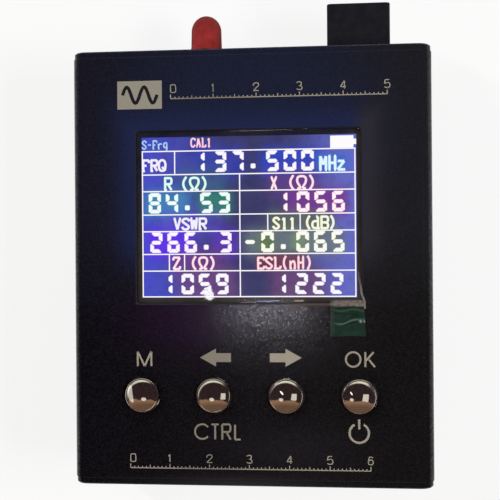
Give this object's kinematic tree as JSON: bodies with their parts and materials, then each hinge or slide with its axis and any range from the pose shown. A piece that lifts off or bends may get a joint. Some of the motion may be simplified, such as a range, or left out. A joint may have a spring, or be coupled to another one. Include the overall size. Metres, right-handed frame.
{
  "type": "antenna analyzer",
  "caption": "Hand-held antenna analyzer: flat black aluminium case with a lit colour display, push buttons, a capped coaxial port and a covered charging port.",
  "frame": {"origin": "centre of the case's back face", "axes": "+X right across the face, +Y towards the connector end, +Z out of the face"},
  "size_m": [0.082, 0.1102, 0.03],
  "materials": {
    "case_finish": "black anodised over a fine blasted surface",
    "button_chrome": "polished chrome plate",
    "screw_black": "black oxide steel",
    "screw_steel": "zinc plated steel",
    "display_glass": "polished glass over a lit colour display",
    "light_guide": "white moulded frame and diffuser",
    "black_plastic": "black moulded plastic",
    "white_plastic": "white moulded plastic",
    "flex_amber": "amber polyimide with copper tracks",
    "film_clear": "clear protective film",
    "tab_green": "thin green film",
    "board_green": "green solder mask over glass fibre board",
    "brass": "turned brass",
    "gold_plate": "gold plated brass",
    "nickel": "nickel plated steel",
    "cap_red": "matt soft vinyl",
    "cover_black": "matt black rubber",
    "chip_black": "moulded chip package",
    "ferrite": "sintered ferrite",
    "capacitor_tan": "ceramic with tinned ends",
    "lamp_clear": "clear moulded lamp",
    "cell_foil": "silver laminated pouch",
    "foam_grey": "adhesive foam",
    "lead_red": "red insulation",
    "lead_black": "black insulation"
  },
  "bodies": {
    "case": {"front_shell": "case_finish", "rear_shell": "case_finish", "top_end_plate": "case_finish", "bottom_end_plate": "case_finish", "top_end_screws": "screw_black", "bottom_end_screws": "screw_black", "lcd_glass": "display_glass", "lcd_backlight": "light_guide", "lcd_holder": "black_plastic", "lcd_flex_cable": "flex_amber", "screen_film": "film_clear", "pull_tab": "tab_green", "switch_bodies": "black_plastic", "switch_covers": "nickel", "display_board": "board_green", "main_board": "board_green", "board_spacers": "brass", "display_board_screws": "screw_steel", "main_board_screws": "screw_steel", "board_header": "black_plastic", "header_pins": "gold_plate", "sma_jack": "gold_plate", "sma_insulator": "white_plastic", "sma_contact": "gold_plate", "sma_washer": "nickel", "sma_nut": "gold_plate", "usb_shell": "nickel", "usb_tongue": "black_plastic", "charge_led": "lamp_clear", "rf_shield_can": "nickel", "processor_chip": "chip_black", "crystal": "nickel", "power_inductor": "ferrite", "chip_capacitors": "capacitor_tan", "battery_cell": "cell_foil", "battery_pad": "foam_grey", "battery_guard": "board_green", "battery_socket": "white_plastic", "battery_plug": "white_plastic", "battery_lead_black": "lead_black", "battery_lead_red": "lead_red"},
    "menu_button": {"cap_menu": "button_chrome", "plunger_menu": "black_plastic"},
    "left_button": {"cap_left": "button_chrome", "plunger_left": "black_plastic"},
    "right_button": {"cap_right": "button_chrome", "plunger_right": "black_plastic"},
    "ok_button": {"cap_ok": "button_chrome", "plunger_ok": "black_plastic"},
    "dust_cap": {"sma_dust_cap": "cap_red"},
    "port_cover": {"usb_port_cover": "cover_black"}
  },
  "joints": [
    {"name": "menu_press", "type": "slide", "parent": "case", "child": "menu_button", "axis": [0, 0, -1], "range_m": [0, 0.0004], "stiffness_N_per_m": 2000, "springref_m": -0.0002},
    {"name": "left_press", "type": "slide", "parent": "case", "child": "left_button", "axis": [0, 0, -1], "range_m": [0, 0.0004], "stiffness_N_per_m": 2000, "springref_m": -0.0002},
    {"name": "right_press", "type": "slide", "parent": "case", "child": "right_button", "axis": [0, 0, -1], "range_m": [0, 0.0004], "stiffness_N_per_m": 2000, "springref_m": -0.0002},
    {"name": "ok_press", "type": "slide", "parent": "case", "child": "ok_button", "axis": [0, 0, -1], "range_m": [0, 0.0004], "stiffness_N_per_m": 2000, "springref_m": -0.0002},
    {"name": "dust_cap_pull", "type": "slide", "parent": "case", "child": "dust_cap", "axis": [0, 1, 0], "range_m": [0, 0.008]},
    {"name": "port_cover_pull", "type": "slide", "parent": "case", "child": "port_cover", "axis": [0, 1, 0], "range_m": [0, 0.008]}
  ]
}
